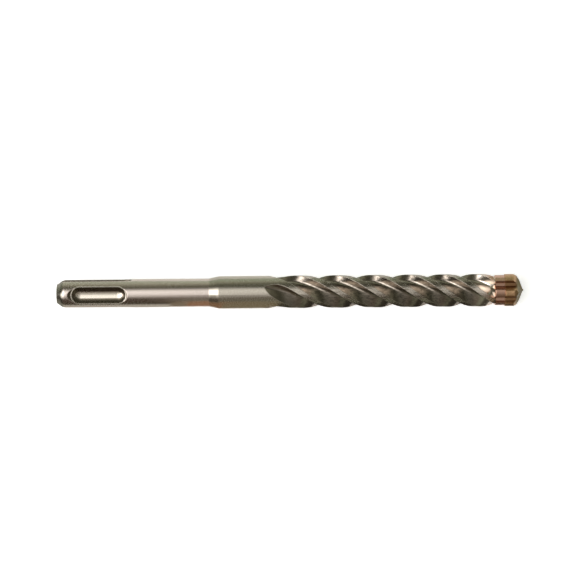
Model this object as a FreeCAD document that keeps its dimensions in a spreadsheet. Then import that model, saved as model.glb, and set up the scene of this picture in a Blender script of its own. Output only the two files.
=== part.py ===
"""Hammer drill bit, 12 x 165 mm, with a slotted push-fit shank and a four-cutter carbide head.

The tool lies along +X: the struck end face is at X = 0 and the drill point at X = 165 mm.
Everything is first drawn clocked, with a locking groove facing +Z, and each finished piece is
then rolled about X until the tool lies on a head flat, as it does on a table.
Clock angles run from -Y towards +Z. Lengths are millimetres, angles are degrees.
"""
import FreeCAD, Part
import math
import os
import Sketcher

doc = FreeCAD.newDocument("hammer_drill_bit")
sizes = doc.addObject("Spreadsheet::Sheet", "Sizes")

DRIVING_SIZES = [
    # Whole tool
    ("overall_length", 165.0),
    ("body_radius", 5.75),
    # Shank that goes into the drill
    ("shank_radius", 5.0),
    ("shank_length", 53.8),
    ("collar_cone_length", 3.4),
    ("end_face_radius", 3.35),
    ("end_chamfer_length", 2.15),
    ("end_chamfer_round", 2.6),
    # Closed locking grooves, one on each side
    ("locking_start", 8.5),
    ("locking_straight", 12.9),
    ("locking_ball_radius", 4.2),
    ("locking_floor_radius", 2.95),
    ("locking_rim_radius", 2.88),
    ("locking_rear_flare", 63.0),
    ("locking_front_flare", 43.0),
    # Open keyways, a quarter turn from the locking grooves
    ("keyway_length", 26.8),
    ("keyway_mouth_width", 3.9),
    ("keyway_floor_width", 3.0),
    ("keyway_floor_radius", 3.55),
    ("keyway_wheel_radius", 9.0),
    # Helical flutes
    ("flute_count", 4.0),
    ("flute_lead_at_start", 56.4),
    ("flute_lead_at_head", 45.1),
    ("flute_start", 82.5),
    ("flute_clock", -16.2),
    ("flute_run_in", 10.0),
    ("flute_opening", 68.0),
    ("core_radius", 3.05),
    ("wall_root_radius", 1.1),
    ("wall_root_inset", 2.2),
    ("flute_wheel_radius", 17.0),
    # Seat for the head, turned down a little
    ("seat_length", 3.4),
    ("seat_radius", 5.37),
    ("seat_fade_radius", 2.9),
    ("seat_shoulder_length", 0.9),
    ("seat_fade_length", 2.2),
    # Carbide head
    ("head_length", 6.8),
    ("head_clock", 3.0),
    ("narrow_cutter_radius", 6.0),
    ("narrow_cutter_half_width", 0.9),
    ("narrow_cutter_root_half_width", 2.1),
    ("wide_cutter_radius", 5.68),
    ("wide_cutter_half_angle", 42.0),
    ("gullet_floor_radius", 3.5),
    ("gullet_floor_width", 1.0),
    # Drill point
    ("corner_height", 3.15),
    ("corner_rounding_length", 1.1),
    ("corner_rounding_depth", 0.6),
    ("corner_chamfer_length", 1.0),
    ("corner_chamfer_depth", 1.6),
    ("ridge_slope", 20.0),
    ("facet_slope", 28.0),
    ("centre_tip_height", 0.9),
    ("centre_tip_radius", 0.95),
    ("centre_tip_stand_out", 0.28),
]

for row, (name, size) in enumerate(DRIVING_SIZES, start=1):
    sizes.set("A%d" % row, name)
    sizes.set("B%d" % row, repr(size))
    sizes.setAlias("B%d" % row, name)
doc.recompute()

AXIS = FreeCAD.Vector(1, 0, 0)

# How far cutting tools reach past the steel, and how far outlines run past a turned outside
OVERCUT = 1.0
OVERRUN_ANGLE = 12.0
# How far a flute's first section stands clear of the steel
FIRST_SECTION_CLEARANCE = 0.3
# How far apart the sections are that a flute is drawn through
SECTION_STEP = 1.9
PAST_ROUND = "1.5 * "
# Half the width of the edge on a ground ridge and on the drill point
GROUND_EDGE = 0.02

# Places along the axis that several features share
HEAD_BACK = "(Sizes.overall_length - Sizes.head_length)"
SEAT_BACK = "(%s - Sizes.seat_length)" % HEAD_BACK
CORNER_FRONT = "(%s + Sizes.corner_height)" % HEAD_BACK


def size(name):
    """A driving size, read from the sheet."""
    return float(getattr(sizes, name))


def number(expression):
    """What an expression of driving sizes is worth."""
    worth = sizes.evalExpression(expression)
    return float(getattr(worth, "Value", worth))


def bind(thing, **properties):
    """Tie properties of an object to expressions of the driving sizes."""
    for name, expression in properties.items():
        thing.setExpression(name.replace("__", "."), expression)
    return thing


def outline(sketch, corners):
    """Draw a closed outline whose corners are pairs of expressions."""
    points = [FreeCAD.Vector(number(across), number(up), 0) for across, up in corners]
    lines = []
    for first, second in zip(points, points[1:] + points[:1]):
        lines.append(sketch.addGeometry(Part.LineSegment(first, second), False))
    for line, following in zip(lines, lines[1:] + lines[:1]):
        sketch.addConstraint(Sketcher.Constraint("Coincident", line, 2, following, 1))
    for line, corner, point in zip(lines, corners, points):
        for kind, expression, place in zip(("DistanceX", "DistanceY"), corner, point):
            constraint = Sketcher.Constraint(kind, -1, 1, line, 1, place)
            index = sketch.addConstraint(constraint)
            sketch.setExpression("Constraints[%d]" % index, expression)


def body_sketch(body, name, plane_role, corners):
    """Sketch on one of a body's own origin planes."""
    plane = [p for p in body.Origin.OriginFeatures if p.Role == plane_role][0]
    sketch = body.newObject("Sketcher::SketchObject", name)
    sketch.AttachmentSupport = [(plane, "")]
    sketch.MapMode = "FlatFace"
    outline(sketch, corners)
    doc.recompute()
    return sketch


def turned_body(name, corners):
    """Body turned about X from corners given as pairs of place along X and radius."""
    body = doc.addObject("PartDesign::Body", name)
    sketch = body_sketch(body, name + "_profile", "XZ_Plane", corners)
    turning = body.newObject("PartDesign::Revolution", name + "_turning")
    turning.Profile = sketch
    turning.ReferenceAxis = (sketch, ["H_Axis"])
    turning.Angle = 360.0
    sketch.Visibility = False
    doc.recompute()
    return body


def boolean(kind, name, first, others):
    """Cut others from first, or keep what first and others share, or fuse them all."""
    if kind == "Part::MultiFuse":
        joined = doc.addObject(kind, name)
        joined.Shapes = [first] + others
        joined.Refine = True
        doc.recompute()
        return joined
    tool = others[0]
    if len(others) > 1:
        tool = doc.addObject("Part::MultiFuse", name + "_tools")
        tool.Shapes = others
    result = doc.addObject(kind, name)
    result.Base = first
    result.Tool = tool
    result.Refine = True
    doc.recompute()
    return result


def clocked(angle, vector):
    """Turn a vector that is drawn for clock angle 90 (facing +Z) to another clock angle."""
    return FreeCAD.Rotation(AXIS, 90.0 - angle).multVec(vector)


# Turned blank: chamfered shank, cone up to the fluted body, and the turned-down head seat
blank = turned_body("turned_blank", [
    ("0", "0"),
    ("0", "Sizes.end_face_radius"),
    ("Sizes.end_chamfer_length", "Sizes.shank_radius"),
    ("Sizes.shank_length", "Sizes.shank_radius"),
    ("Sizes.shank_length + Sizes.collar_cone_length", "Sizes.body_radius"),
    (SEAT_BACK + " - Sizes.seat_shoulder_length", "Sizes.body_radius"),
    (SEAT_BACK, "Sizes.seat_radius"),
    (SEAT_BACK, "0"),
])


def edge_at(shape, place, radius):
    """Name of the circular edge at a place along X with a radius."""
    for number_of_edge, edge in enumerate(shape.Edges, start=1):
        curve = edge.Curve
        if isinstance(curve, Part.Circle) and abs(curve.Center.x - place) < 0.01:
            if abs(curve.Radius - radius) < 0.01:
                return "Edge%d" % number_of_edge
    raise RuntimeError("no edge at %.2f with radius %.2f" % (place, radius))


# The end chamfer runs into the shank over a soft round
turning = blank.Tip
chamfer_edge = edge_at(turning.Shape, size("end_chamfer_length"), size("shank_radius"))
end_round = blank.newObject("PartDesign::Fillet", "end_round")
end_round.Base = (turning, [chamfer_edge])
bind(end_round, Radius="Sizes.end_chamfer_round")
doc.recompute()


def locking_groove(side):
    """Trough with ball ends, and the flares that its rim leaves at either end."""
    facing = "%g" % side
    axis_height = "(Sizes.locking_floor_radius + Sizes.locking_ball_radius)"
    rim_height = "sqrt(Sizes.shank_radius ^ 2 - Sizes.locking_rim_radius ^ 2)"
    flare_height = "(1.5 * (Sizes.shank_radius - %s))" % rim_height
    front = "(Sizes.locking_start + Sizes.locking_straight)"
    name = "locking_top" if side > 0 else "locking_bottom"

    trough = doc.addObject("Part::Cylinder", name + "_trough")
    trough.Placement.Rotation = FreeCAD.Rotation(FreeCAD.Vector(0, 1, 0), 90)
    bind(trough, Radius="Sizes.locking_ball_radius", Height="Sizes.locking_straight",
         Placement__Base__x="Sizes.locking_start",
         Placement__Base__z=facing + " * " + axis_height)
    pieces = [trough]
    ends = [("rear", "Sizes.locking_start", "Sizes.locking_rear_flare"),
            ("front", front, "Sizes.locking_front_flare")]
    for end, place, flare in ends:
        ball = doc.addObject("Part::Sphere", "%s_%s_ball" % (name, end))
        bind(ball, Radius="Sizes.locking_ball_radius", Placement__Base__x=place,
             Placement__Base__z=facing + " * " + axis_height)
        mouth = doc.addObject("Part::Cone", "%s_%s_flare" % (name, end))
        mouth.Placement.Rotation = FreeCAD.Rotation(AXIS, 0 if side > 0 else 180)
        bind(mouth, Radius1="Sizes.locking_rim_radius",
             Radius2="Sizes.locking_rim_radius + %s * tan(%s)" % (flare_height, flare),
             Height=flare_height,
             Placement__Base__x=place, Placement__Base__z=facing + " * " + rim_height)
        pieces += [ball, mouth]
    return pieces


def keyway(side):
    """Open trapezoid keyway from the end face, which a milling wheel leaves along an arc."""
    name = "keyway_front" if side < 0 else "keyway_back"
    half_mouth = size("keyway_mouth_width") / 2
    half_floor = size("keyway_floor_width") / 2
    floor = size("keyway_floor_radius")
    mouth = math.sqrt(size("shank_radius") ** 2 - half_mouth ** 2)
    lean = (half_mouth - half_floor) / (mouth - floor)
    above = size("shank_radius") + OVERCUT
    half_above = half_mouth + (above - mouth) * lean
    wheel = size("keyway_wheel_radius")
    depth = size("shank_radius") - floor
    leaving = math.sqrt(wheel ** 2 - (wheel - depth) ** 2)
    straight = size("keyway_length") - leaving
    corners = [(-half_floor, floor), (half_floor, floor), (half_above, above), (-half_above, above)]
    points = [FreeCAD.Vector(straight, side * out, across) for across, out in corners]
    section = Part.Face(Part.makePolygon(points + points[:1]))
    milled = section.extrude(FreeCAD.Vector(-straight - OVERCUT, 0, 0))
    wheel_centre = FreeCAD.Vector(straight, side * (floor + wheel), 0)
    leaving_angle = math.degrees(math.asin(leaving / wheel)) + OVERRUN_ANGLE
    left = section.revolve(wheel_centre, FreeCAD.Vector(0, 0, 1), side * leaving_angle)
    cutter = doc.addObject("Part::Feature", name)
    cutter.Shape = milled.fuse(left)
    return cutter


def flute_section(centre_angle, place, lift):
    """Section of one flute across the axis: long lead-in, round root, steep driving wall."""
    half = math.radians(size("flute_opening") / 2)
    body_radius = size("body_radius")
    edge_across = body_radius * math.sin(half)
    edge_out = body_radius * math.cos(half)
    root = size("wall_root_radius")
    root_across = edge_across - size("wall_root_inset")
    root_out = size("core_radius") + root

    def on_root(angle):
        return (root_across + root * math.cos(angle), root_out + root * math.sin(angle))

    def tangent_angle(edge, turn):
        """Where on the root round a straight flank from a land edge touches it."""
        across, out = edge[0] - root_across, edge[1] - root_out
        return math.atan2(out, across) + turn * math.acos(root / math.hypot(across, out))

    def beyond(foot, edge):
        """Point on a flank that lies clear of the steel, past its land edge."""
        share = (body_radius + OVERCUT - foot[1]) / (edge[1] - foot[1])
        return (foot[0] + (edge[0] - foot[0]) * share, foot[1] + (edge[1] - foot[1]) * share)

    lead_in_edge = (-edge_across, edge_out)
    wall_edge = (edge_across, edge_out)
    lead_in_angle = tangent_angle(lead_in_edge, 1)
    wall_angle = tangent_angle(wall_edge, -1) + 2 * math.pi
    lead_in_foot, wall_foot = on_root(lead_in_angle), on_root(wall_angle)
    root_middle = on_root((lead_in_angle + wall_angle) / 2)
    lead_in_top = beyond(lead_in_foot, lead_in_edge)
    wall_top = beyond(wall_foot, wall_edge)

    def at(point):
        return clocked(centre_angle, FreeCAD.Vector(place, point[0], point[1] + lift))

    edges = [
        Part.LineSegment(at(lead_in_top), at(lead_in_foot)),
        Part.Arc(at(lead_in_foot), at(root_middle), at(wall_foot)),
        Part.LineSegment(at(wall_foot), at(wall_top)),
        Part.LineSegment(at(wall_top), at(lead_in_top)),
    ]
    return Part.Wire([edge.toShape() for edge in edges])


def flute_turn(place):
    """How far the flutes have turned about X at a place; the lead tightens towards the head."""
    run = place - size("flute_start")
    length = number(SEAT_BACK) - size("flute_start")
    rate_at_start = 360.0 / size("flute_lead_at_start")
    rate_at_head = 360.0 / size("flute_lead_at_head")
    if run < 0:
        # The turning sets in while the wheel comes down
        return rate_at_start * (run + run ** 2 / (2 * size("flute_run_in")))
    return rate_at_start * run + (rate_at_head - rate_at_start) * run ** 2 / (2 * length)


def flute_cutter(index):
    """One flute, from where the wheel comes down behind it to the front of the fluted steel."""
    start = size("flute_start")
    wheel = size("flute_wheel_radius")
    centre_angle = size("flute_clock") + 360.0 / size("flute_count") * index
    clear_lift = size("body_radius") + FIRST_SECTION_CLEARANCE - size("core_radius")
    back = start - math.sqrt(wheel ** 2 - (wheel - clear_lift) ** 2)
    front = number(SEAT_BACK) + OVERCUT
    steps = int(math.ceil((front - back) / SECTION_STEP))
    sections = []
    for step in range(steps + 1):
        place = back + (front - back) * step / steps
        behind = max(start - place, 0.0)
        lift = wheel - math.sqrt(wheel ** 2 - behind ** 2)
        sections.append(flute_section(centre_angle - flute_turn(place), place, lift))
    cutter = doc.addObject("Part::Feature", "flute_cutter_%d" % (index + 1))
    cutter.Shape = Part.makeLoft(sections, True, False)
    return cutter


cutters = locking_groove(1) + locking_groove(-1) + [keyway(-1), keyway(1)]
for index in range(int(round(size("flute_count")))):
    cutters.append(flute_cutter(index))
doc.recompute()
fluted = boolean("Part::Cut", "fluted_body", blank, cutters)


def mirrored_outline(quarter):
    """Closed outline from the corners of one quarter, listed from the +Z side to the +Y side."""
    def signed(corner, sign_across, sign_up):
        across, up = corner
        return ("%d * (%s)" % (sign_across, across), "%d * (%s)" % (sign_up, up))

    corners = [signed(corner, 1, 1) for corner in quarter]
    corners += [signed(corner, 1, -1) for corner in reversed(quarter)]
    corners += [signed(corner, -1, -1) for corner in quarter]
    corners += [signed(corner, -1, 1) for corner in reversed(quarter)]
    return corners


# Sections across the axis: narrow cutters stand along Z, wide cutters along Y
GULLET_FLOOR = "sqrt(Sizes.gullet_floor_radius ^ 2 - Sizes.narrow_cutter_root_half_width ^ 2)"
GULLET_END = "(Sizes.narrow_cutter_root_half_width + Sizes.gullet_floor_width)"
WIDE_EDGE_ACROSS = "(Sizes.wide_cutter_radius * cos(Sizes.wide_cutter_half_angle))"
WIDE_EDGE_UP = "(Sizes.wide_cutter_radius * sin(Sizes.wide_cutter_half_angle))"
NARROW_EDGE_UP = "sqrt(Sizes.narrow_cutter_radius ^ 2 - Sizes.narrow_cutter_half_width ^ 2)"
NARROW_QUARTER = [
    ("Sizes.narrow_cutter_half_width", PAST_ROUND + "Sizes.narrow_cutter_radius"),
    ("Sizes.narrow_cutter_half_width", NARROW_EDGE_UP),
    ("Sizes.narrow_cutter_root_half_width", GULLET_FLOOR),
]
WIDE_QUARTER = [
    (GULLET_END, GULLET_FLOOR),
    (WIDE_EDGE_ACROSS, WIDE_EDGE_UP),
    (PAST_ROUND + WIDE_EDGE_ACROSS, PAST_ROUND + WIDE_EDGE_UP),
]


def bar(name, quarter, start, length):
    """Straight bar along X with a mirrored section, clocked like the head."""
    body = doc.addObject("PartDesign::Body", name)
    sketch = body_sketch(body, name + "_section", "YZ_Plane", mirrored_outline(quarter))
    bind(sketch, AttachmentOffset__Base__z=start)
    pad = body.newObject("PartDesign::Pad", name + "_pad")
    pad.Profile = sketch
    bind(pad, Length=length)
    body.Placement.Rotation = FreeCAD.Rotation(AXIS, 1)
    bind(body, Placement__Rotation__Angle="Sizes.head_clock")
    sketch.Visibility = False
    doc.recompute()
    return body


# Seat for the head: its ribs rise out of the flutes and carry on the head's section
SEAT_FADE_START = "(%s - Sizes.seat_fade_length)" % SEAT_BACK
SEAT_BAR_LENGTH = "(Sizes.seat_fade_length + Sizes.seat_length)"
seat_bars = boolean("Part::MultiFuse", "seat_ribs", bar(
    "seat_narrow_ribs", NARROW_QUARTER, SEAT_FADE_START, SEAT_BAR_LENGTH), [bar(
        "seat_wide_ribs", WIDE_QUARTER, SEAT_FADE_START, SEAT_BAR_LENGTH)])
seat_envelope = turned_body("seat_envelope", [
    (SEAT_FADE_START, "0"),
    (SEAT_FADE_START, "Sizes.seat_fade_radius"),
    (SEAT_BACK, "Sizes.seat_radius"),
    (HEAD_BACK, "Sizes.seat_radius"),
    (HEAD_BACK, "0"),
])
seat = boolean("Part::Common", "head_seat", seat_bars, [seat_envelope])
steel_body = boolean("Part::MultiFuse", "steel_body", fluted, [seat])


# Head: each pair of cutters is a bar with a turned outside and a roof-shaped point
RIDGE_TOP = "(Sizes.overall_length - Sizes.centre_tip_stand_out)"


def roof(name, angle):
    """Ridge that falls outwards from the axis, with a facet on either side of it."""
    wedge = doc.addObject("Part::Wedge", name)
    bind(wedge, Xmin="-Sizes.head_length / tan(Sizes.facet_slope)",
         Xmax="Sizes.head_length / tan(Sizes.facet_slope)",
         Ymin="-Sizes.head_length", Zmax="2 * Sizes.narrow_cutter_radius",
         Z2max="2 * Sizes.narrow_cutter_radius", Placement__Base__x=RIDGE_TOP)
    wedge.Ymax = wedge.Zmin = wedge.Z2min = 0.0
    wedge.X2min = -GROUND_EDGE
    wedge.X2max = GROUND_EDGE
    # Own Z becomes the outward direction and own Y the tool's axis, then the ridge tips back
    upright = FreeCAD.Rotation(FreeCAD.Vector(0, 0, 1), -90)
    tipped = FreeCAD.Rotation(FreeCAD.Vector(0, 1, 0), -size("ridge_slope"))
    around = FreeCAD.Rotation(AXIS, angle)
    wedge.Placement.Rotation = around.multiply(tipped).multiply(upright)
    return wedge


def cutter_pair(name, quarter, radius, first_angle):
    """Two opposite cutters of the head, as one solid through the axis."""
    straight = bar(name + "_bar", quarter, HEAD_BACK, "Sizes.head_length")
    shoulder = "(%s - Sizes.corner_rounding_depth)" % radius
    crown = "(%s - Sizes.corner_chamfer_depth)" % shoulder
    shoulder_place = "(%s + Sizes.corner_rounding_length)" % CORNER_FRONT
    envelope = turned_body(name + "_envelope", [
        (HEAD_BACK, "0"),
        (HEAD_BACK, radius),
        (CORNER_FRONT, radius),
        (shoulder_place, shoulder),
        (shoulder_place + " + Sizes.corner_chamfer_length", crown),
        ("Sizes.overall_length", crown),
        ("Sizes.overall_length", "0"),
    ])
    turned = boolean("Part::Common", name + "_turned", straight, [envelope])
    clock = size("head_clock")
    roofs = [roof("%s_roof_%d" % (name, turn), first_angle + 180 * turn + clock)
             for turn in (0, 1)]
    return boolean("Part::Common", name, turned, roofs)


wide = cutter_pair("wide_cutters", WIDE_QUARTER, "Sizes.wide_cutter_radius", -90)
narrow = cutter_pair("narrow_cutters", NARROW_QUARTER, "Sizes.narrow_cutter_radius", 0)

# The centring tip is a small ground cone that goes down into the ridges
tip = doc.addObject("Part::Cone", "centre_tip")
tip.Radius2 = GROUND_EDGE
tip.Placement.Rotation = FreeCAD.Rotation(FreeCAD.Vector(0, 1, 0), 90)
bind(tip, Radius1="Sizes.centre_tip_radius", Height="Sizes.centre_tip_height",
     Placement__Base__x="Sizes.overall_length - Sizes.centre_tip_height")
carbide_head = boolean("Part::MultiFuse", "carbide_head", wide, [narrow, tip])

# At rest the tool lies on the flat that a narrow and a wide cutter span between them
RESTING_ROLL = "90 deg - Sizes.head_clock * 1 deg - atan((%s - %s) / (%s - %s))" % (
    WIDE_EDGE_ACROSS, "Sizes.narrow_cutter_half_width", NARROW_EDGE_UP, WIDE_EDGE_UP)
for piece in (steel_body, carbide_head):
    piece.Placement.Rotation = FreeCAD.Rotation(AXIS, 1)
    bind(piece, Placement__Rotation__Angle=RESTING_ROLL)
doc.recompute()

for thing in doc.Objects:
    if "Invalid" in thing.State or "Error" in thing.State:
        raise RuntimeError("%s did not build" % thing.Name)

os.makedirs("parts", exist_ok=True)
for piece in (steel_body, carbide_head):
    shape = piece.Shape
    if shape.isNull() or not shape.isValid() or len(shape.Solids) != 1:
        raise RuntimeError("%s is not one sound solid" % piece.Label)
    shape.exportStep("parts/%s.step" % piece.Label)
    box = shape.BoundBox
    print("%s: %.0f cubic mm, X %.2f to %.2f, Y %.2f to %.2f, Z %.2f to %.2f" % (
        piece.Label, shape.Volume, box.XMin, box.XMax, box.YMin, box.YMax, box.ZMin, box.ZMax))
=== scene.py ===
# %% [markdown]
# # A 12 mm hammer drill bit on a white table
#
# The real object is a masonry bit for a rotary hammer: one piece of alloy steel with a slotted
# push-fit shank and four helical flutes, and a four-cutter head of sintered carbide brazed to its
# end. Both pieces come from the CAD model, which already has the right shape, so this lesson is
# about finish and light: how worked steel, heat tint and carbide look under a soft box.

# %% Load the CAD model
import math

import bpy
from mathutils import Matrix, Vector


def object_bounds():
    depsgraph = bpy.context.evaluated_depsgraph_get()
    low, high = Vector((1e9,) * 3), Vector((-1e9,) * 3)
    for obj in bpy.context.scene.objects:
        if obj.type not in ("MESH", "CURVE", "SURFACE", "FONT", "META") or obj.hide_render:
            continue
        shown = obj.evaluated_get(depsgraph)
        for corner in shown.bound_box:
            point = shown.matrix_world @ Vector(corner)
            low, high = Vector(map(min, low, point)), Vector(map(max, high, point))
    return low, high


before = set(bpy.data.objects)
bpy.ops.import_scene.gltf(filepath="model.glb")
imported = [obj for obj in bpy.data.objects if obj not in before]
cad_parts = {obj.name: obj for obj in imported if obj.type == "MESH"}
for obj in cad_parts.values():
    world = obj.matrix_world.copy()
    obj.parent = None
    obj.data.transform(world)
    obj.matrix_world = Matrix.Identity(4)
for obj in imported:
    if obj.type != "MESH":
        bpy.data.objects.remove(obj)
cad_low, cad_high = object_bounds()
MM = 0.001
print("nodes:", sorted(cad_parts))
print("size in mm:", [round((high - low) / MM, 2) for low, high in zip(cad_low, cad_high)])

# %% [markdown]
# ## Camera
#
# The photograph looks down on the bit at a steep angle, with the bit level across the frame and
# rising slightly to the right. The tool shows no taper from end to end, so it lies parallel to the
# picture. We could turn the bit to match, but it stays where the CAD has it. We therefore aim at
# one point on its axis and lean the camera by the small tilt.

# %% Place the camera
FRAME_PX = 578
PX_PER_MM = 2.827
FOCAL_PX = 2350.0
SENSOR_MM = 36.0
ELEVATION = math.radians(69.3)
LEAN = math.radians(0.49)
AIM_X = 82.0 * MM
AIM_DROP_PX = 2.85
CLIP_NEAR = 0.01
CLIP_FAR = 20.0

back = Vector((0.0, -math.cos(ELEVATION), math.sin(ELEVATION)))
level_up = Vector((0.0, math.sin(ELEVATION), math.cos(ELEVATION)))
level_right = Vector((1.0, 0.0, 0.0))
right = level_right * math.cos(LEAN) - level_up * math.sin(LEAN)
up = level_right * math.sin(LEAN) + level_up * math.cos(LEAN)
distance = FOCAL_PX / PX_PER_MM * MM
target = Vector((AIM_X, 0.0, 0.0)) + up * (AIM_DROP_PX / PX_PER_MM * MM)

camera = bpy.data.objects.new("camera", bpy.data.cameras.new("camera"))
camera.data.sensor_width = SENSOR_MM
camera.data.lens = SENSOR_MM * FOCAL_PX / FRAME_PX
camera.data.clip_start = CLIP_NEAR
camera.data.clip_end = CLIP_FAR
camera.matrix_world = Matrix.Translation(target + back * distance) @ Matrix(
    (right, up, back)).transposed().to_4x4()
bpy.context.scene.collection.objects.link(camera)
bpy.context.scene.camera = camera
print("camera distance in mm:", round(distance / MM, 1))

# %% [markdown]
# ## Helpers for materials
#
# Three helpers serve every finish. One turns an sRGB hex colour into the linear values that
# shaders use. One adds a node, gives it its settings and feeds its sockets, so that each recipe
# below reads as a list of ingredients. One makes an empty material to fill.

# %% Colour and node helpers


def linear(hex_colour):
    """Linear RGBA of an sRGB hex colour."""
    shares = [int(hex_colour[at:at + 2], 16) / 255 for at in (1, 3, 5)]
    curved = [share / 12.92 if share <= 0.04045 else ((share + 0.055) / 1.055) ** 2.4
              for share in shares]
    return (*curved, 1.0)


def add(tree, kind, *feeds, into=None, stops=(), **settings):
    """Add a node. Feeds fill its sockets in order, into fills them by name, stops fill a ramp."""
    made = tree.nodes.new(kind)
    for name, value in settings.items():
        setattr(made, name, value)
    if stops:
        elements = made.color_ramp.elements
        elements[0].position, elements[0].color = stops[0]
        elements[1].position, elements[1].color = stops[-1]
        for place, colour in stops[1:-1]:
            elements.new(place).color = colour
    open_sockets = [socket for socket in made.inputs if socket.enabled]
    filled = list(zip(open_sockets, feeds))
    filled += [(made.inputs[name], value) for name, value in (into or {}).items()]
    for socket, value in filled:
        if isinstance(value, bpy.types.Node):
            value = next(out for out in value.outputs if out.enabled)
        if isinstance(value, bpy.types.NodeSocket):
            tree.links.new(value, socket)
        elif value is not None:
            socket.default_value = value
    return made


def new_material(name):
    """Empty node material and its tree."""
    material = bpy.data.materials.new(name)
    material.use_nodes = True
    material.node_tree.nodes.clear()
    return material, material.node_tree


print("white is", linear("#ffffff"))

# %% [markdown]
# ## Helpers for the two metals
#
# Steel and carbide both need to know where on the tool a point is, and both end in a bare metal
# that goes on a CAD node. A picture texture would need the mesh unwrapped. The place itself needs
# nothing, because each node's object sits at the origin, and with it every pattern below has a
# real size in millimetres.

# %% Metal helpers


def place_on_tool(tree):
    """Place in millimetres, how far that is along the axis and how far from it."""
    place = add(tree, "ShaderNodeTexCoord").outputs["Object"]
    in_mm = add(tree, "ShaderNodeVectorMath", place, operation="SCALE", into={"Scale": 1 / MM})
    along, side, height = add(tree, "ShaderNodeSeparateXYZ", in_mm).outputs
    across = add(tree, "ShaderNodeCombineXYZ", 0.0, side, height)
    radius = add(tree, "ShaderNodeVectorMath", across, operation="LENGTH").outputs["Value"]
    return in_mm, along, radius


def finish_metal(node_name, material, colour, roughness, normal):
    """Make a material a bare metal and put it on a CAD node."""
    tree = material.node_tree
    shader = add(tree, "ShaderNodeBsdfPrincipled", into={
        "Base Color": colour, "Metallic": 1.0, "Roughness": roughness, "Normal": normal})
    add(tree, "ShaderNodeOutputMaterial", shader)
    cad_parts[node_name].material_slots[0].material = material
    print(node_name, "has", len(tree.nodes), "material nodes")


print("one millimetre is", MM, "m")

# %% [markdown]
# ## Steel
#
# The real body is quenched and tempered alloy steel. Its shank is turned and ground, its grooves
# and flutes are milled, and brazing has tinted the front end. Each finish could be a material of
# its own, but this is one piece of steel and one node. So one material covers it, and masks worked
# out from the place along the axis and the distance to it tell the finishes apart.

# %% Where each finish of the steel is
steel, tree = new_material("alloy_steel_turned_milled_and_tinted")
in_mm, along, radius = place_on_tool(tree)

masks = {}
for name, source, start, full in [
        # Name, what it follows, where it starts and where it is full in mm
        ("past_chamfer", along, 1.9, 2.6),
        ("past_shank", along, 53.7, 54.1),
        ("past_cone", along, 57.0, 57.4),
        ("wall_of_groove", radius, 3.2, 3.5),
        ("past_neck", along, 72.8, 73.6),
        ("on_lands", along, 74.0, 96.0),
        ("near_head", along, 145.5, 151.0),
        ("at_head", along, 150.0, 154.0),
        ("on_seat", along, 154.2, 154.6),
        ("below_shank", radius, 4.93, 4.86),
        ("below_land", radius, 5.68, 5.58),
        ("before_slots_end", along, 30.0, 28.0)]:
    masks[name] = add(tree, "ShaderNodeMapRange", source, start, full, 0.0, 1.0,
                      interpolation_type="SMOOTHSTEP")

slot_mask = add(tree, "ShaderNodeMath", masks["below_shank"], masks["before_slots_end"],
                operation="MULTIPLY")
slot_mask = add(tree, "ShaderNodeMath", slot_mask, masks["past_chamfer"], operation="MULTIPLY")
# Painted shade: everything in the grooves more than 3.2 to 3.5 mm from the axis gets a darker coat
# than the floor
groove_wall_shade_mask = add(tree, "ShaderNodeMath", slot_mask, masks["wall_of_groove"],
                       operation="MULTIPLY")
flute_mask = add(tree, "ShaderNodeMath", masks["below_land"], masks["past_neck"],
                 operation="MULTIPLY")
off_flutes = add(tree, "ShaderNodeMath", 1.0, flute_mask, operation="SUBTRACT")
away_from_head = add(tree, "ShaderNodeMath", 1.0, masks["near_head"], operation="SUBTRACT")
print("masks:", sorted(masks))

# %% [markdown]
# ## Painted shade in the flutes, scuffs and heat tint
#
# The flutes are painted darker in patches a few millimetres long, which is painted shade of the
# recess.
# Handling leaves short scuffs that run along the fluted part, and the heat of brazing leaves straw
# and copper tints near the head. They could be painted by hand, but noise of the right size gives
# the same uneven look, and a share keeps each of them faint.

# %% Painted shade in the flutes, scuffs and heat tint
PATCH_MM = 2.857
PATCH_SPAN = (0.4, 0.7)
FLUTE_SHADE_SHARE = 0.4
SCUFF_LENGTH_MM = 2.0
SCUFF_WIDTH_MM = 0.385
SCUFF_SPAN = (0.46, 0.62)
SCUFF_SHARE = 0.75
STRAW_SHARE = 0.55
TINT_SHARE = 0.8

patches = add(tree, "ShaderNodeTexNoise", in_mm,
              into={"Scale": 1 / PATCH_MM, "Detail": 4.0, "Roughness": 0.6})
# Painted shade: darker patches in the flutes only, fading out near the head
residue = add(tree, "ShaderNodeMapRange", patches, *PATCH_SPAN, 0.0, FLUTE_SHADE_SHARE)
residue = add(tree, "ShaderNodeMath", residue, flute_mask, operation="MULTIPLY")
residue = add(tree, "ShaderNodeMath", residue, away_from_head, operation="MULTIPLY")

scuffs_per_mm = (1 / SCUFF_LENGTH_MM, 1 / SCUFF_WIDTH_MM, 1 / SCUFF_WIDTH_MM)
drawn_out = add(tree, "ShaderNodeVectorMath", in_mm, scuffs_per_mm, operation="MULTIPLY")
scuffs = add(tree, "ShaderNodeTexNoise", drawn_out,
             into={"Scale": 1.0, "Detail": 5.0, "Roughness": 0.7})
scuffs = add(tree, "ShaderNodeMapRange", scuffs, *SCUFF_SPAN, 0.0, SCUFF_SHARE)
scuffs = add(tree, "ShaderNodeMath", scuffs, masks["on_lands"], operation="MULTIPLY")
scuffs = add(tree, "ShaderNodeMath", scuffs, away_from_head, operation="MULTIPLY")

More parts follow.
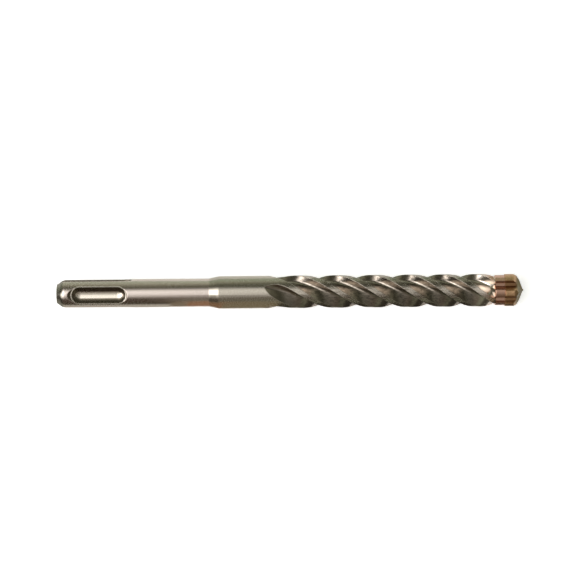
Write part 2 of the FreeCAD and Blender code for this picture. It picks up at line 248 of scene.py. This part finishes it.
straw = add(tree, "ShaderNodeMath", masks["near_head"], STRAW_SHARE, operation="MULTIPLY")
tint = add(tree, "ShaderNodeMath", masks["at_head"], off_flutes, operation="MULTIPLY")
tint = add(tree, "ShaderNodeMath", tint, masks["on_seat"], operation="MAXIMUM")
tint = add(tree, "ShaderNodeMath", tint, TINT_SHARE, operation="MULTIPLY")
print("scuffs:", SCUFF_LENGTH_MM, "by", SCUFF_WIDTH_MM, "mm")

# %% [markdown]
# ## Burr and painted highlight round the locking grooves
#
# Milling pushes up a fine burr round each locking groove, and it catches the light. A raised line
# in the mesh would be thinner than a pixel. The CAD already has the groove's rim, so the burr is a
# mask on it, for a fine bump and a paler colour, the colour being a painted highlight. The mask is
# a stretched ring, at one distance from the path of the cutter's centre.

# %% Burr and its painted highlight
# The ends of the cutter's path along the tool in mm, and the direction across the groove
LOCKING_GROOVE_PATH = (8.3, 21.57)
LOCKING_GROOVE_SIDE = (0.0, 0.8686, 0.4955)
# The ring's radius and half width in mm, and the distance from the axis where it begins to show
BURR_AND_HIGHLIGHT_RADIUS = 2.95
BURR_AND_HIGHLIGHT_HALF_WIDTH = 0.28
BURR_AND_HIGHLIGHT_OUTSIDE = (3.6, 3.9)

burr_and_highlight_side = add(tree, "ShaderNodeVectorMath", in_mm, LOCKING_GROOVE_SIDE,
                operation="DOT_PRODUCT").outputs["Value"]
before_path = add(tree, "ShaderNodeMath", LOCKING_GROOVE_PATH[0], along, operation="SUBTRACT")
after_path = add(tree, "ShaderNodeMath", along, LOCKING_GROOVE_PATH[1], operation="SUBTRACT")
beside_path = add(tree, "ShaderNodeMath", before_path, after_path, operation="MAXIMUM")
beside_path = add(tree, "ShaderNodeMath", beside_path, 0.0, operation="MAXIMUM")
from_path = add(tree, "ShaderNodeCombineXYZ", beside_path, burr_and_highlight_side, 0.0)
from_path = add(tree, "ShaderNodeVectorMath", from_path, operation="LENGTH").outputs["Value"]
off_ring = add(tree, "ShaderNodeMath", from_path, BURR_AND_HIGHLIGHT_RADIUS, operation="SUBTRACT")
off_ring = add(tree, "ShaderNodeMath", off_ring, operation="ABSOLUTE")
burr = add(tree, "ShaderNodeMapRange", off_ring, BURR_AND_HIGHLIGHT_HALF_WIDTH, 0.0, 0.0, 1.0,
           interpolation_type="SMOOTHSTEP")
outside = add(tree, "ShaderNodeMapRange", radius, *BURR_AND_HIGHLIGHT_OUTSIDE, 0.0, 1.0)
burr = add(tree, "ShaderNodeMath", burr, outside, operation="MULTIPLY")
print("burr ring is", 2 * BURR_AND_HIGHLIGHT_RADIUS, "mm wide")

# %% [markdown]
# ## Colour of the steel
#
# Ground steel is a light, slightly warm grey, and the milled and heated parts are duller. The
# colours could be picked by one long ramp, but marks such as scuffs cross the finishes. So they
# are laid over each other like coats, each with its own mask, and a later one covers those before.

# %% Coats of colour
STEEL = {
    "chamfer": "#8f8a80",
    "shank": "#d6c9c0",
    # The groove floors carry a painted highlight, lighter than the shank, and their walls painted
    # shade
    "groove": "#eae0d2",
    "groove_wall": "#7d7365",
    "cone": "#bab2a5",
    "neck": "#c0b8ab",
    "land": "#b5aca0",
    "flute": "#b0a599",
    "scuff": "#5d564b",
    "residue": "#3c352b",
    "straw": "#ece0d4",
    "tint": "#c4947a",
    # The paler colour on the burr ring is a painted highlight on the rim
    "burr": "#dfd7cb",
}

colour = linear(STEEL["chamfer"])
for coat, mask in [
        ("shank", masks["past_chamfer"]),
        # Painted highlight on the groove floors, then painted shade on the groove walls
        ("groove", slot_mask),
        ("groove_wall", groove_wall_shade_mask),
        ("cone", masks["past_shank"]),
        ("neck", masks["past_cone"]),
        ("land", masks["on_lands"]),
        ("flute", flute_mask),
        ("scuff", scuffs),
        ("residue", residue),
        ("straw", straw),
        ("tint", tint),
        ("burr", burr)]:
    colour = add(tree, "ShaderNodeMix", mask, colour, linear(STEEL[coat]), data_type="RGBA")
print("steel colours:", len(STEEL))

# %% [markdown]
# ## Relief and shine of the steel
#
# Ground and milled steel is smooth, with a roughness of 0.2 to 0.3, so it mirrors its surroundings
# a little blurred. Turning leaves fine lines round the shank and milling a fine grain in the
# flutes, both shallow enough for a bump. No edge of a used tool is sharp, so its edges catch
# light. Rounding them in the mesh would change the CAD's shape, so a Bevel node bends the normal
# over a quarter of a millimetre instead.

# %% Relief and shine of the steel
EDGE_ROUND = 0.25 * MM
EDGE_SAMPLES = 6
BURR_HEIGHT = 0.16 * MM
# Real turning lines and grain are finer than a pixel, so these are as coarse as it takes to show
TURNING_LINE_MM = 0.45
TURNING_LINE_LENGTH_MM = 50.0
GRAIN_MM = 1 / 6
GRAIN_SPAN = (0.3, 0.7)
RELIEF_STRENGTH = 0.05
RELIEF_HEIGHT = 0.02 * MM
TURNED_ROUGHNESS = (0.2, 0.3)
MILLED_ROUGHNESS = 0.2

lines_per_mm = (1 / TURNING_LINE_MM, 1 / TURNING_LINE_LENGTH_MM, 1 / TURNING_LINE_LENGTH_MM)
stretched = add(tree, "ShaderNodeVectorMath", in_mm, lines_per_mm, operation="MULTIPLY")
turning = add(tree, "ShaderNodeTexNoise", stretched, into={"Scale": 1.0, "Detail": 2.0})
grain = add(tree, "ShaderNodeTexNoise", in_mm, into={"Scale": 1 / GRAIN_MM, "Detail": 3.0})
relief = add(tree, "ShaderNodeMix", flute_mask, turning, grain, data_type="FLOAT")
edge = add(tree, "ShaderNodeBevel", EDGE_ROUND, samples=EDGE_SAMPLES)
burr_bump = add(tree, "ShaderNodeBump", into={
    "Strength": 1.0, "Distance": BURR_HEIGHT, "Height": burr, "Normal": edge})
relief_bump = add(tree, "ShaderNodeBump", into={
    "Strength": RELIEF_STRENGTH, "Distance": RELIEF_HEIGHT, "Height": relief,
    "Normal": burr_bump})
roughness = add(tree, "ShaderNodeMapRange", grain, *GRAIN_SPAN, *TURNED_ROUGHNESS)
roughness = add(tree, "ShaderNodeMix", flute_mask, roughness, MILLED_ROUGHNESS,
                data_type="FLOAT")
finish_metal("steel_body", steel, colour, roughness, relief_bump)

# %% [markdown]
# ## Carbide
#
# The head is tungsten carbide, pressed and sintered and then ground at its cutting edges. It is a
# metal to the eye, darker than steel and rougher, at 0.36, so its reflections are duller. The
# brazing furnace left a copper-brown wash on its back half, and the point is olive grey. It could
# share the steel's material, but it is a piece of its own with its own finish. The grain is too
# fine to see, so only a faint mottle is drawn.

# %% Sizes and colours of the carbide
# The gullet colour is painted shade: the carbide is darker and browner towards the axis
CARBIDE = {"wash": "#cfa981", "gullet": "#6a4a2e", "point": "#6f6743", "mottle": "#6a4a2e"}
GULLET_SHADE_RADII = (5.2, 3.8)
GULLET_SHADE_SHARE = 0.7
WASH_END = (161.6, 163.0)
MOTTLE_MM = 0.625
MOTTLE_SPAN = (0.35, 0.65)
MOTTLE_SHARE = 0.4
MOTTLE_STRENGTH = 0.15
MOTTLE_HEIGHT = 0.03 * MM
CARBIDE_ROUGHNESS = 0.36
print("the wash ends", WASH_END[0], "to", WASH_END[1], "mm from the struck end")

# %% Sintered carbide
carbide, tree = new_material("sintered_tungsten_carbide")
in_mm, along, radius = place_on_tool(tree)
# Painted shade in the gullets between the cutters, darker the nearer the axis
gullet_shade_mask = add(tree, "ShaderNodeMapRange", radius, *GULLET_SHADE_RADII, 0.0, GULLET_SHADE_SHARE,
                interpolation_type="SMOOTHSTEP")
to_point = add(tree, "ShaderNodeMapRange", along, *WASH_END, 0.0, 1.0,
               interpolation_type="SMOOTHSTEP")
mottle = add(tree, "ShaderNodeTexNoise", in_mm, into={"Scale": 1 / MOTTLE_MM, "Detail": 4.0})
mottle_mask = add(tree, "ShaderNodeMapRange", mottle, *MOTTLE_SPAN, 0.0, MOTTLE_SHARE)
colour = linear(CARBIDE["wash"])
for coat, mask in [("gullet", gullet_shade_mask), ("point", to_point), ("mottle", mottle_mask)]:
    colour = add(tree, "ShaderNodeMix", mask, colour, linear(CARBIDE[coat]), data_type="RGBA")
edge = add(tree, "ShaderNodeBevel", EDGE_ROUND, samples=EDGE_SAMPLES)
mottle_bump = add(tree, "ShaderNodeBump", into={
    "Strength": MOTTLE_STRENGTH, "Distance": MOTTLE_HEIGHT, "Height": mottle, "Normal": edge})
finish_metal("carbide_head", carbide, colour, CARBIDE_ROUGHNESS, mottle_bump)

# %% [markdown]
# ## Table
#
# The photograph has a plain white surface. A white background alone would leave the bit without a
# shadow, so a large sheet of matt paper stands for it. It is lifted to white for the camera by a
# little glow, of which the metal sees less, and it still takes the bit's shadow.

# %% White table
TABLE_HALF = 3.0
TABLE_COLOUR = "#f6f6f4"
TABLE_ROUGHNESS = 0.9
CAMERA_GLOW = 0.62
GLOSS_GLOW = 0.2


def add_panel(name, corners, material):
    """Flat panel between four corners, with one material."""
    mesh = bpy.data.meshes.new(name)
    mesh.from_pydata(corners, [], [(0, 1, 2, 3)])
    mesh.materials.append(material)
    panel = bpy.data.objects.new(name, mesh)
    bpy.context.scene.collection.objects.link(panel)
    return panel


paper, tree = new_material("matt_white_paper")
path = add(tree, "ShaderNodeLightPath").outputs
seen = add(tree, "ShaderNodeMath", path["Is Camera Ray"], path["Is Transmission Ray"],
           operation="MAXIMUM")
camera_glow = add(tree, "ShaderNodeMath", seen, CAMERA_GLOW, operation="MULTIPLY")
gloss_glow = add(tree, "ShaderNodeMath", path["Is Glossy Ray"], GLOSS_GLOW, operation="MULTIPLY")
glow = add(tree, "ShaderNodeMath", camera_glow, gloss_glow, operation="ADD")
shader = add(tree, "ShaderNodeBsdfPrincipled", into={
    "Base Color": linear(TABLE_COLOUR), "Roughness": TABLE_ROUGHNESS,
    "Emission Color": linear("#ffffff"), "Emission Strength": glow, "Specular IOR Level": 0.0})
add(tree, "ShaderNodeOutputMaterial", shader)
table = add_panel("white_table", [(x * TABLE_HALF, y * TABLE_HALF, cad_low.z)
                                  for x, y in ((-1, -1), (1, -1), (1, 1), (-1, 1))], paper)
print("table at", round(cad_low.z / MM, 2), "mm")

# %% [markdown]
# ## Studio light
#
# Polished metal shows its surroundings. Lamps would have to be moved until their reflections fit,
# so the light is drawn round the tool instead. The room is one ramp over the angle about the
# tool's axis, from the front horizon over the top to the back horizon: dark overhead and lit again
# behind. A second ramp over the same angle is the soft box near the camera, and a third one makes
# the box brighter towards the struck end. In the photograph its left end hangs lower, so it is
# turned a little there.

# %% Bands of light
LIGHT_STRENGTH = 1.3
HALF_TURN = 180.0
ROOM_BANDS = [
    # Degrees from the front horizon, colour: warm in front, dark overhead, greenish behind
    (0, (0.145, 0.14, 0.11)), (22, (0.155, 0.138, 0.112)), (34, (0.155, 0.138, 0.115)),
    (60, (0.1, 0.095, 0.075)), (100, (0.087, 0.09, 0.065)), (114, (0.068, 0.07, 0.05)),
    (130, (0.132, 0.135, 0.1)), (144, (0.3, 0.31, 0.24)), (162, (0.37, 0.42, 0.335)),
    (180, (0.34, 0.4, 0.315))]
BOX_BANDS = [
    # Degrees from the front horizon, level
    (30, 0.0), (36, 0.14), (44, 0.42), (58, 0.68), (72, 0.92), (86, 0.88), (94, 0.5),
    (104, 0.07), (112, 0.0)]
BOX_ALONG = [
    # How far a direction leans along the tool, from -1 at the struck end to 1, and level
    (-1.0, 0.1), (-0.95, 0.6), (-0.9, 3.7), (-0.72, 3.5), (-0.6, 3.1), (-0.42, 3.2), (-0.3, 1.7),
    (-0.1, 1.2), (-0.065, 1.0), (-0.038, 0.84), (-0.02, 0.76), (0.005, 0.7), (0.022, 0.6),
    (0.05, 0.5), (0.1, 0.42), (0.2, 0.3), (0.3, 0.2), (0.4, 0.12), (1.0, 0.05)]
# Where along the tool the box starts to turn, where it has turned fully, and by how many degrees
BOX_TURN_SPAN = (-0.5, -0.8)
BOX_DROP = 22.0


def grey(level):
    """Neutral grey of a level."""
    return (level, level, level, 1.0)


print("bands:", len(ROOM_BANDS), "and", len(BOX_BANDS))

# %% Room and soft box
world = bpy.data.worlds.new("soft_box_studio")
bpy.context.scene.world = world
world.use_nodes = True
tree = world.node_tree
tree.nodes.clear()
direction = add(tree, "ShaderNodeSeparateXYZ",
                add(tree, "ShaderNodeTexCoord").outputs["Generated"]).outputs
forward = add(tree, "ShaderNodeMath", direction["Y"], -1.0, operation="MULTIPLY")
angle = add(tree, "ShaderNodeMath", direction["Z"], forward, operation="ARCTAN2")
around = add(tree, "ShaderNodeMath", angle, math.pi, operation="DIVIDE")
along_axis = add(tree, "ShaderNodeMapRange", direction["X"], -1.0, 1.0, 0.0, 1.0)
askew = add(tree, "ShaderNodeMapRange", direction["X"], *BOX_TURN_SPAN,
            0.0, BOX_DROP / HALF_TURN, interpolation_type="SMOOTHSTEP")
around_box = add(tree, "ShaderNodeMath", around, askew, operation="ADD")

room = add(tree, "ShaderNodeValToRGB", around,
           stops=[(degrees / HALF_TURN, (*colour, 1.0)) for degrees, colour in ROOM_BANDS])
box = add(tree, "ShaderNodeValToRGB", around_box,
          stops=[(degrees / HALF_TURN, grey(level)) for degrees, level in BOX_BANDS])
fade = add(tree, "ShaderNodeValToRGB", along_axis,
           stops=[((place + 1) / 2, grey(level)) for place, level in BOX_ALONG])
box_seen = add(tree, "ShaderNodeVectorMath", box, fade, operation="MULTIPLY")
light = add(tree, "ShaderNodeVectorMath", room, box_seen, operation="ADD")
lit = add(tree, "ShaderNodeBackground", light, LIGHT_STRENGTH)
white = add(tree, "ShaderNodeBackground", grey(1.0), 1.0)
path = add(tree, "ShaderNodeLightPath").outputs
mixed = add(tree, "ShaderNodeMixShader", path["Is Camera Ray"], lit, white)
add(tree, "ShaderNodeOutputWorld", mixed)
print("world nodes:", len(tree.nodes))

# %% [markdown]
# ## Boards in front
#
# The lower half of the bit shows what lies on the table in front of it, and the photograph has a
# different tone there along each stretch. The table's own colour could change instead, but the
# camera would see that. Flat boards and two upright cards stand for it, which only reflections
# see, and which lay no shadow and no light on the table.

# %% Places of the boards
FAR = 1200.0
BOARD_Z = cad_low.z / MM + 0.2
# Where the tone changes along the tool, and how far in front of its axis, in mm
SHANK_END_X = 39.5
CONE_X = 45.5
NECK_X = 58.0
FLUTES_X = 78.0
NEAR_Y = -6.5
SHANK_STRIP_Y = -14.0
FLUTE_STRIP_Y = -26.0
SHANK_CARD_Y = -60.0
FLUTE_CARD_Y = -300.0
BOARDS = [
    # Name, reach along X, near and far edge in Y and height of the far edge in mm, colour
    ("board_at_shank", (-FAR, SHANK_END_X), (SHANK_STRIP_Y, -FAR), BOARD_Z,
     (0.08, 0.07, 0.05)),
    ("board_by_shank", (-FAR, SHANK_END_X), (-2.0, SHANK_STRIP_Y), BOARD_Z,
     (0.52, 0.52, 0.46)),
    ("card_beyond_shank", (-FAR, 36.6), (SHANK_CARD_Y, SHANK_CARD_Y), 29.0,
     (0.08, 0.06, 0.045)),
    ("board_at_shank_end", (SHANK_END_X, CONE_X), (NEAR_Y, -FAR), BOARD_Z,
     (0.25, 0.22, 0.16)),
    ("board_at_cone", (CONE_X, NECK_X), (NEAR_Y, -FAR), BOARD_Z,
     (0.34, 0.21, 0.13)),
    ("board_at_neck", (NECK_X, FLUTES_X), (NEAR_Y, -FAR), BOARD_Z,
     (0.29, 0.25, 0.17)),
    ("board_at_flutes", (FLUTES_X, FAR), (NEAR_Y, FLUTE_STRIP_Y), BOARD_Z,
     (0.07, 0.065, 0.05)),
    ("board_far_from_flutes", (FLUTES_X, FAR), (FLUTE_STRIP_Y, FLUTE_CARD_Y), BOARD_Z,
     (0.24, 0.25, 0.19)),
    ("card_beyond_flutes", (FLUTES_X, FAR), (FLUTE_CARD_Y, FLUTE_CARD_Y), 65.0,
     (0.24, 0.25, 0.19)),
]
print("boards:", len(BOARDS))

# %% Boards in front
for name, (left, right_end), (near_y, far_y), far_z, colour in BOARDS:
    card, tree = new_material(name + "_card")
    emission = add(tree, "ShaderNodeEmission", (*colour, 1.0), 1.0)
    add(tree, "ShaderNodeOutputMaterial", emission)
    corners = [(left, far_y, far_z), (right_end, far_y, far_z),
               (right_end, near_y, BOARD_Z), (left, near_y, BOARD_Z)]
    board = add_panel(name, [Vector(corner) * MM for corner in corners], card)
    board.visible_camera = board.visible_diffuse = board.visible_shadow = False
    board.visible_transmission = board.visible_volume_scatter = False
    print(name, "from", left, "to", right_end, "mm")

# %% [markdown]
# ## Finish
#
# Colours should render about as they are written, so the plain Standard view is used.

# %% Finish
bpy.context.scene.view_settings.view_transform = "Standard"
